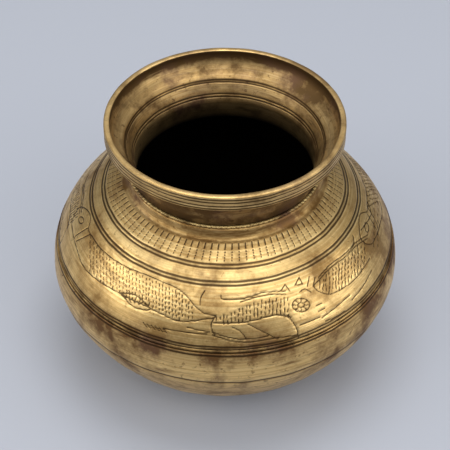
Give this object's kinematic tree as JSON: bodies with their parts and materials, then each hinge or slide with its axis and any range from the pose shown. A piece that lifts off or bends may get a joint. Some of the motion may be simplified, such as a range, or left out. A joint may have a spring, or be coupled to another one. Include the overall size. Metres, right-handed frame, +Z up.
{
  "type": "holy water pot",
  "caption": "Round-bellied brass water pot with a short flared neck, a thick turned lip and brazed seams at belly and neck.",
  "frame": {"origin": "middle of the flat standing face", "axes": "+Z up along the pot's axis of turning, -Y towards the side that the picture shows"},
  "size_m": [0.1518, 0.1518, 0.122],
  "materials": {
    "brass": "old turned brass, tarnished brown in the engraving",
    "braze": "yellow brazing metal, slightly rough"
  },
  "bodies": {
    "root": {"base_bowl": "brass", "belly_braze": "braze", "shoulder_shell": "brass", "neck_braze": "braze", "neck_and_lip": "brass"}
  },
  "joints": []
}
